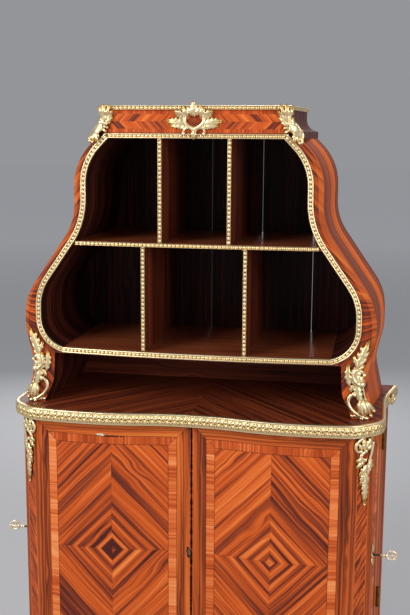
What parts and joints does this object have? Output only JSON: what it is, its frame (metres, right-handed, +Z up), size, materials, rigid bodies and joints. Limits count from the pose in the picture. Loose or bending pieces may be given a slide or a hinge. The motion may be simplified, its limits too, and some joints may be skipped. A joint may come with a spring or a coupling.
{
  "type": "cartonnier",
  "caption": "Two-stage cartonnier: a serpentine veneered cupboard with a locking door in each side, under an open violin-shaped case of pigeonholes with gilt mounts.",
  "frame": {"origin": "on the floor, under the middle of the piece", "axes": "+Z up, +X to the right seen from the front, front faces -Y"},
  "size_m": [1.042, 0.4262, 1.584],
  "materials": {
    "parquetry_veneer": "french-polished kingwood and tulipwood veneer in matched parquetry",
    "post_veneer": "french-polished kingwood veneer with banded edges",
    "dark_wood": "dark stained and polished inside boards",
    "carcase_wood": "plain oak carcase, oiled and darkened by age",
    "gilt_bronze": "cast, chased and gilded bronze, burnished on the high places",
    "hinge_brass": "plain drawn brass",
    "lock_iron": "filed and polished iron"
  },
  "bodies": {
    "cabinet": {"back_planks": "carcase_wood", "base_back": "carcase_wood", "base_bottom": "carcase_wood", "base_partition": "carcase_wood", "base_shelf_left": "carcase_wood", "base_shelf_right": "carcase_wood", "base_top": "parquetry_veneer", "base_top_rim": "gilt_bronze", "bottom_strip": "gilt_bronze", "cartouche": "gilt_bronze", "case_bottom": "dark_wood", "case_ceiling": "dark_wood", "case_rail": "dark_wood", "case_shelf": "dark_wood", "ceiling_strip": "gilt_bronze", "chute_left": "gilt_bronze", "chute_right": "gilt_bronze", "corner_mount_left": "gilt_bronze", "corner_mount_right": "gilt_bronze", "crest_end_left": "post_veneer", "crest_end_right": "post_veneer", "crest_frieze": "parquetry_veneer", "crest_rim": "gilt_bronze", "crest_top": "parquetry_veneer", "divider_strips": "gilt_bronze", "foot_mount_left": "gilt_bronze", "foot_mount_right": "gilt_bronze", "front_apron": "post_veneer", "front_panel_left": "parquetry_veneer", "front_panel_right": "parquetry_veneer", "front_post_left": "post_veneer", "front_post_right": "post_veneer", "hinge_pins": "hinge_brass", "hinge_post_leaves": "hinge_brass", "lower_divider_left": "dark_wood", "lower_divider_right": "dark_wood", "opening_strip_left": "gilt_bronze", "opening_strip_right": "gilt_bronze", "rear_post_left": "carcase_wood", "rear_post_right": "carcase_wood", "shelf_cleats": "carcase_wood", "shelf_strip": "gilt_bronze", "side_apron_left": "post_veneer", "side_apron_right": "post_veneer", "upper_divider_left": "dark_wood", "upper_divider_right": "dark_wood", "upper_side_left": "post_veneer", "upper_side_right": "post_veneer"},
    "door_right": {"door_right": "parquetry_veneer", "hinge_door_leaf_right": "hinge_brass", "lock_case_right": "lock_iron", "escutcheon_right": "gilt_bronze"},
    "key_right": {"key_right": "lock_iron"},
    "lock_bolt_right": {"lock_bolt_right": "lock_iron"},
    "door_left": {"door_left": "parquetry_veneer", "hinge_door_leaf_left": "hinge_brass", "lock_case_left": "lock_iron", "escutcheon_left": "gilt_bronze"},
    "key_left": {"key_left": "lock_iron"},
    "lock_bolt_left": {"lock_bolt_left": "lock_iron"}
  },
  "joints": [
    {"name": "door_hinge_right", "type": "hinge", "parent": "cabinet", "child": "door_right", "pos_m": [0.4779, 0.1485, 0.45], "axis": [0, 0, 1], "range_deg": [0, 110]},
    {"name": "key_turn_right", "type": "hinge", "parent": "door_right", "child": "key_right", "pos_m": [0.45, -0.092, 0.45], "axis": [1, 0, 0], "range_deg": [0, 180]},
    {"name": "bolt_slide_right", "type": "slide", "parent": "door_right", "child": "lock_bolt_right", "axis": [0, -1, 0], "range_m": [0, 0.0161]},
    {"name": "door_hinge_left", "type": "hinge", "parent": "cabinet", "child": "door_left", "pos_m": [-0.4779, 0.1485, 0.45], "axis": [0, 0, -1], "range_deg": [0, 110]},
    {"name": "key_turn_left", "type": "hinge", "parent": "door_left", "child": "key_left", "pos_m": [-0.45, -0.092, 0.45], "axis": [-1, 0, 0], "range_deg": [0, 180]},
    {"name": "bolt_slide_left", "type": "slide", "parent": "door_left", "child": "lock_bolt_left", "axis": [0, -1, 0], "range_m": [0, 0.0161]}
  ],
  "couplings": [
    {"joint": "bolt_slide_right", "follows": "key_turn_right", "m_per_rad": 0.00509},
    {"joint": "bolt_slide_left", "follows": "key_turn_left", "m_per_rad": 0.00509}
  ]
}
